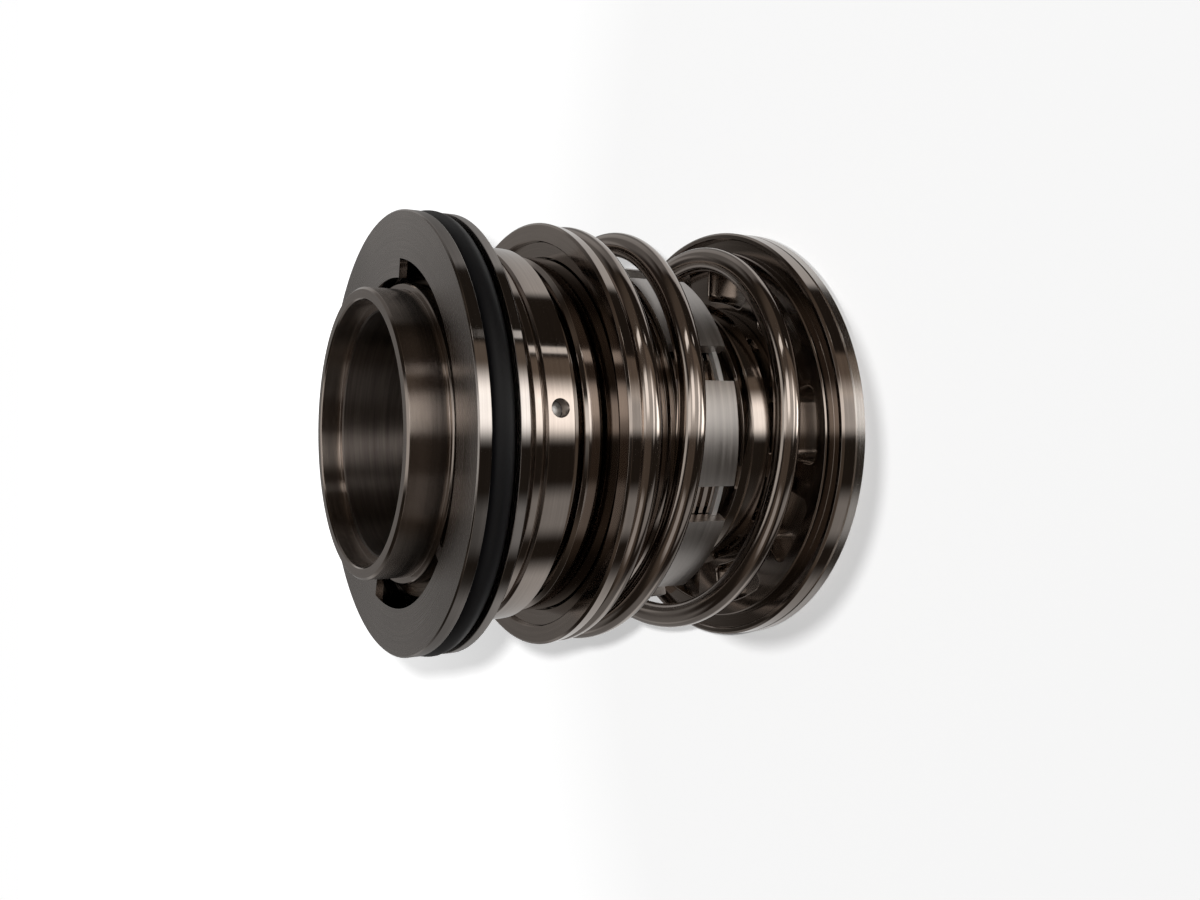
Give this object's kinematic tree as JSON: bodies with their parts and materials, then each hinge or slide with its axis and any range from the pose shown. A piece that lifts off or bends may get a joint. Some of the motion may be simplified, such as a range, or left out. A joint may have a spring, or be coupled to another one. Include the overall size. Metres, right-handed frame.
{
  "type": "cartridge mechanical seal",
  "caption": "Cartridge mechanical seal: shaft sleeve with notched gland flange and O-ring, sealing faces, spring-loaded cup with castellated drive crown, big coil spring and spoked rear plate.",
  "frame": {"origin": "centre of the rear disc's flat back face", "axes": "+Z along the shaft axis from the rear disc to the sleeve nose; the first port and a tab of the drive crown face -Y"},
  "size_m": [0.1056, 0.1056, 0.1025],
  "materials": {
    "dark_steel": "turned and polished, dark brownish plating",
    "satin_dark_steel": "satin turned face, dark plating",
    "spring_steel": "smooth polished wire, dark plating",
    "satin_steel": "satin machined steel",
    "bright_steel": "plain machined steel",
    "carbide": "lapped dark carbide",
    "bronze": "darkened machined bronze",
    "rubber": "matt black elastomer"
  },
  "bodies": {
    "root": {"shaft_sleeve": "dark_steel", "sleeve_oring": "rubber", "drive_pins": "bright_steel", "stop_ring": "dark_steel", "lock_collar": "dark_steel", "set_screws": "bright_steel", "hub_spacer": "dark_steel", "spring_plate": "dark_steel", "rear_disc": "dark_steel", "rear_snap_ring": "bright_steel", "plate_screws": "bright_steel", "main_spring": "spring_steel"},
    "head": {"rotary_ring": "carbide", "head_cup": "dark_steel", "head_oring": "rubber", "thrust_washer": "bright_steel", "drive_crown": "satin_steel", "inner_carrier": "dark_steel", "crown_clip": "bright_steel"},
    "gland": {"flange_ring": "satin_dark_steel", "flange_oring": "rubber", "seat_holder": "dark_steel", "spigot_oring": "rubber", "guide_bush": "bronze", "stationary_ring": "carbide", "seat_oring": "rubber", "antirotation_pins": "bright_steel"}
  },
  "joints": [
    {"name": "head_slide", "type": "slide", "parent": "root", "child": "head", "axis": [0, 0, 1], "range_m": [-0.006, 0], "stiffness_N_per_m": 5000, "springref_m": 0.006, "deforming": ["main_spring"]},
    {"name": "gland_spin", "type": "hinge", "parent": "head", "child": "gland", "pos_m": [0, 0, 0.0692], "axis": [0, 0, 1], "continuous": true}
  ]
}
